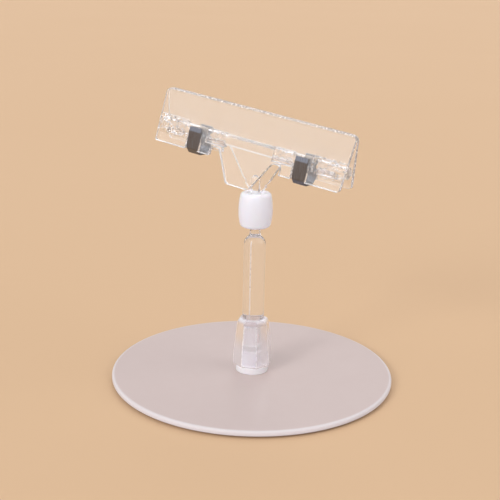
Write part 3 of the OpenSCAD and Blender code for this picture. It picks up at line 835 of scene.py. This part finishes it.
def strip(name, middle):
    """A bent strip: a rounded rectangle carried along the middle line of the bent sheet, which follows the
    jaw, drops straight, slants in and crosses below. Its points turn and move into the clip's place."""
    half_t = spring_t / 2
    side = jaw_face(spring_bend_z) + half_t
    lower = half_t * math.tan(math.pi / 8)
    tip = (jaw_face(spring_tip_z) + half_t * math.cos(jaw_angle), spring_tip_z + half_t * math.sin(jaw_angle))
    right = [
        (*tip, 0),
        (side, spring_bend_z + half_t * math.tan(jaw_angle / 2), spring_bend_r),
        (side, spring_floor_z + spring_chamfer - lower, spring_bend_r),
        (side - half_t - spring_chamfer + lower, spring_floor_z - half_t, spring_bend_r),
    ]
    left = [(-y, z, r) for y, z, r in reversed(right)]
    path = rounded(right + left, steps=spring_steps)[spring_steps - 1:1 - spring_steps]
    path = held(path, margin=0.12 * mm, closed=False)
    path = path[np.append(True, np.linalg.norm(np.diff(path, axis=0), axis=1) > merge_gap)]
    along = np.gradient(path, axis=0)
    along /= np.linalg.norm(along, axis=1, keepdims=True)
    normal = np.stack([along[:, 1], -along[:, 0]], axis=-1)
    section = held(rounded([
        (-spring_w / 2, -half_t, spring_edge),
        (spring_w / 2, -half_t, spring_edge),
        (spring_w / 2, half_t, spring_edge),
        (-spring_w / 2, half_t, spring_edge),
    ], steps=4), margin=0.05 * mm)
    ends = np.array([0.0, *np.ones(len(path)), 0.0])
    rows = np.concatenate([[0], np.arange(len(path)), [len(path) - 1]])
    wide = middle + section[:, None, 0] * ends
    thick = section[:, None, 1] * ends
    local = np.stack([
        wide,
        path[rows, 0] + thick * normal[rows, 0],
        path[rows, 1] + thick * normal[rows, 1],
    ], axis=-1)
    return skin(name, local @ clip_axes.T + hinge_at, closed=False, sharp=40)


spring_steel = finish_of("rolled_steel", {"Metallic": 1.0, "Anisotropic": 0.3})
rolled = pattern(
    spring_steel, "ShaderNodeTexNoise", 1.0, turn=clip_euler, stretch=(0.1 * mm, 4 * mm, 4 * mm), Detail=3)
tinted(spring_steel, rolled, steel_dark, steel_pale)
roughened(spring_steel, rolled, 0.22, 0.4)
relief(spring_steel, rolled, depth=0.006 * mm, strength=0.5)
for side, node in ((-1, "left_spring"), (1, "right_spring")):
    mesh = strip(f"{node}_strip", side * spring_x)
    mesh.materials.append(spring_steel)
    made = bpy.data.objects.new(mesh.name, mesh)
    bpy.context.scene.collection.objects.link(made)
    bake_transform(made)
    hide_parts(node)


# Floor, lamps and camera
# A plain pale floor that runs past the picture, a key lamp and a large soft box from the left, a weaker
# lamp from the right and one from behind, and a camera at the height and angle of the photograph.

floor_half = 8.0
floor_pale = (0.80, 0.55, 0.335, 1.0)
floor_shade = (0.78, 0.53, 0.315, 1.0)
floor_bounce = (0.72, 0.66, 0.65, 1.0)
world_low = (0.74, 0.58, 0.47, 1.0)
world_high = (0.96, 0.95, 0.99, 1.0)
world_light = 0.55
world_rise = 0.5
camera_azimuth = math.radians(30.0)
camera_height = math.radians(23.49)
camera_distance = 412.65 * mm
camera_yaw = math.radians(-0.262)
camera_pitch = math.radians(6.958)
camera_roll = math.radians(1.4)
picture_width = 500
focal_pixels = 1030.7

floor_corners = floor_half * np.array([[-1, -1, 0], [1, -1, 0], [1, 1, 0], [-1, 1, 0]])
floor_mesh = bpy.data.meshes.new("floor")
floor_mesh.from_pydata(floor_corners.tolist(), [], [(0, 1, 2, 3)])
floor = bpy.data.objects.new("floor", floor_mesh)
bpy.context.scene.collection.objects.link(floor)
floor_finish = finish_of("pale_floor", {"Roughness": 0.75})
tinted(floor_finish, noise(floor_finish, 3, 2), floor_shade, floor_pale)
floor_mesh.materials.append(floor_finish)

# The floor shows its own colour, and throws a paler light back on the object.
floor_tree = floor_finish.node_tree
floor_base = floor_tree.nodes["Principled BSDF"].inputs["Base Color"]
thrown = floor_tree.nodes.new("ShaderNodeLightPath").outputs["Is Diffuse Ray"]
floor_tree.links.new(mixed(floor_tree, thrown, floor_base.links[0].from_socket, floor_bounce), floor_base)

world = bpy.data.worlds.new("studio")
world.use_nodes = True
bpy.context.scene.world = world
sky = world.node_tree
backdrop = sky.nodes["Background"]
direction = sky.nodes.new("ShaderNodeSeparateXYZ")
sky.links.new(sky.nodes.new("ShaderNodeTexCoord").outputs["Generated"], direction.inputs["Vector"])
rise = ranged(sky, direction.outputs["Z"], 0.0, world_rise)
sky.links.new(mixed(sky, rise, world_low, world_high), backdrop.inputs["Color"])

# The world lights the object dimly, and shows at full strength to the camera and in gloss and glass.
path = sky.nodes.new("ShaderNodeLightPath")
seen = sky.nodes.new("ShaderNodeMath")
seen_through = sky.nodes.new("ShaderNodeMath")
sky.links.new(path.outputs["Is Camera Ray"], seen.inputs[0])
sky.links.new(path.outputs["Is Glossy Ray"], seen.inputs[1])
sky.links.new(seen.outputs[0], seen_through.inputs[0])
sky.links.new(path.outputs["Is Transmission Ray"], seen_through.inputs[1])
level = ranged(sky, seen_through.outputs[0], 0.0, 1.0, world_light, 1.0)
sky.links.new(level, backdrop.inputs["Strength"])


def soft_lamp(name, azimuth, height, spread_angle, strength, mirrored=True):
    """A far soft lamp at an azimuth and height in degrees, as wide as its spread angle. One that isn't
    mirrored lights the object and throws its shadow, but leaves no glare on a flat glossy face."""
    a, h = math.radians(azimuth), math.radians(height)
    back = np.array([math.sin(a) * math.cos(h), -math.cos(a) * math.cos(h), math.sin(h)])
    data = bpy.data.lights.new(name, "SUN")
    data.angle = math.radians(spread_angle)
    data.energy = strength
    lamp = bpy.data.objects.new(name, data)
    lamp.visible_glossy = mirrored
    bpy.context.scene.collection.objects.link(lamp)
    side = np.cross([0, 0, 1], back)
    side /= np.linalg.norm(side)
    lamp.matrix_world = Matrix(np.column_stack([side, np.cross(back, side), back]).tolist()).to_4x4()


soft_lamp("key_lamp", azimuth=-10, height=26, spread_angle=18, strength=0.95, mirrored=False)
soft_lamp("soft_box", azimuth=-10, height=32, spread_angle=60, strength=0.55)
soft_lamp("fill_lamp", azimuth=105, height=30, spread_angle=50, strength=0.6)
soft_lamp("back_lamp", azimuth=200, height=50, spread_angle=30, strength=0.28)

# Camera: it looks at the middle of the base, turned by the yaw, then the pitch, then the roll.
forward = np.array([0, math.cos(camera_height), -math.sin(camera_height)])
right = np.array([1.0, 0, 0])
up = np.cross(right, forward)
eye = -camera_distance * forward
forward, right = (
    math.cos(camera_yaw) * forward + math.sin(camera_yaw) * right,
    math.cos(camera_yaw) * right - math.sin(camera_yaw) * forward,
)
forward, up = (
    math.cos(camera_pitch) * forward + math.sin(camera_pitch) * up,
    math.cos(camera_pitch) * up - math.sin(camera_pitch) * forward,
)
right, up = (
    math.cos(camera_roll) * right + math.sin(camera_roll) * up,
    math.cos(camera_roll) * up - math.sin(camera_roll) * right,
)
stand = Matrix(np.column_stack([right, up, -forward]).tolist()).to_4x4()
camera_data = bpy.data.cameras.new("camera")
camera_data.lens = camera_data.sensor_width * focal_pixels / picture_width
camera_data.clip_start = 10 * mm
camera = bpy.data.objects.new("camera", camera_data)
bpy.context.scene.collection.objects.link(camera)
round_object = Matrix.Rotation(camera_azimuth, 4, "Z")
camera.matrix_world = round_object @ Matrix.Translation(eye.tolist()) @ stand
bpy.context.scene.camera = camera
bpy.context.scene.view_settings.view_transform = "Standard"

# Light goes on through the clear pieces after many reflections inside them.
light_paths = bpy.context.scene.cycles
light_paths.max_bounces = 32
light_paths.glossy_bounces = 24
light_paths.transmission_bounces = 24
